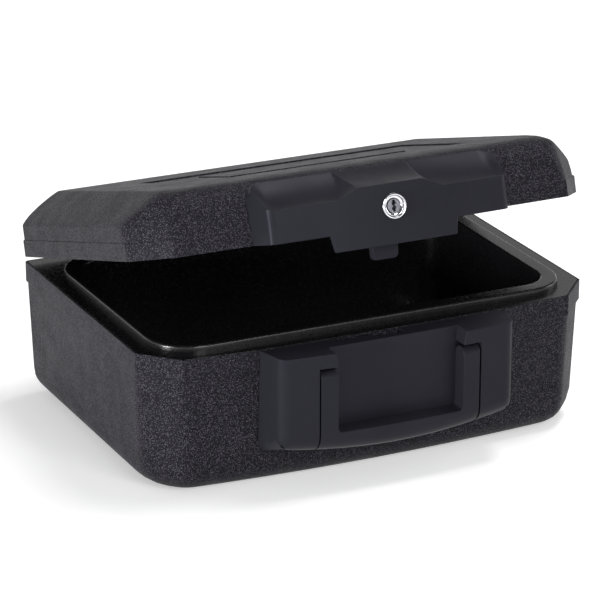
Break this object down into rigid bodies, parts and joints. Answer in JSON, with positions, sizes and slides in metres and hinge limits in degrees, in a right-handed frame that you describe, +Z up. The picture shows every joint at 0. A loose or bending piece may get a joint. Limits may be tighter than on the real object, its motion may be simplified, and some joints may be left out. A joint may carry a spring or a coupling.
{
  "type": "fireproof lock box",
  "caption": "Black moulded fire-resistant document box: hinged insulated lid standing ajar over a deep cavity with a sealing tongue, front key lock with a sliding latch, swinging carry handle.",
  "frame": {"origin": "on the underside of the tub, below the middle of the cavity", "axes": "+X to the right as seen from the front along the box's longest side, +Z up, the front with the lock and the carry handle faces -Y"},
  "size_m": [0.3644, 0.2925, 0.2234],
  "materials": {
    "grained_shell": "pebbled, matte",
    "satin_trim": "fine satin",
    "smooth_liner": "smooth, semi-gloss",
    "insulation": "cast mineral, chalky",
    "chrome_ring": "polished",
    "brass_plug": "polished, plated at its face",
    "steel": "zinc plated"
  },
  "bodies": {
    "base": {"base_outer_shell": "grained_shell", "base_insulation": "insulation", "base_liner": "smooth_liner", "handle_housing": "satin_trim", "strike_plate": "steel", "handle_pin_left": "steel", "handle_pin_right": "steel", "strike_screw_1": "steel", "strike_screw_2": "steel", "housing_screw_1": "steel", "housing_screw_2": "steel", "housing_screw_3": "steel", "housing_screw_4": "steel", "hinge_pin_left": "steel", "hinge_pin_right": "steel"},
    "handle": {"carry_handle": "satin_trim"},
    "lid": {"lid_outer_shell": "grained_shell", "lid_insulation": "insulation", "lid_liner": "smooth_liner", "lock_cover": "satin_trim", "lock_cylinder": "chrome_ring", "lock_nut": "steel", "cover_screw_1": "steel", "cover_screw_2": "steel", "cover_screw_3": "steel", "cover_screw_4": "steel"},
    "key_plug": {"lock_plug": "brass_plug", "lock_cam": "steel", "cam_screw": "steel"},
    "latch": {"latch_slide": "satin_trim"}
  },
  "joints": [
    {"name": "lid_hinge", "type": "hinge", "parent": "base", "child": "lid", "pos_m": [0, 0.1329, 0.1073], "axis": [-1, 0, 0], "range_deg": [-16.83, 78.17]},
    {"name": "handle_swing", "type": "hinge", "parent": "base", "child": "handle", "pos_m": [0, -0.14664, 0.08766], "axis": [-1, 0, 0], "range_deg": [0, 90]},
    {"name": "key_turn", "type": "hinge", "parent": "lid", "child": "key_plug", "pos_m": [0, -0.13699, 0.20596], "axis": [0, -0.9572, 0.2895], "range_deg": [0, 90]},
    {"name": "latch_travel", "type": "slide", "parent": "lid", "child": "latch", "axis": [-1, 0, 0], "range_m": [0, 0.017]}
  ],
  "couplings": [
    {"joint": "latch_travel", "follows": "key_turn", "m_per_rad": 0.010804}
  ]
}
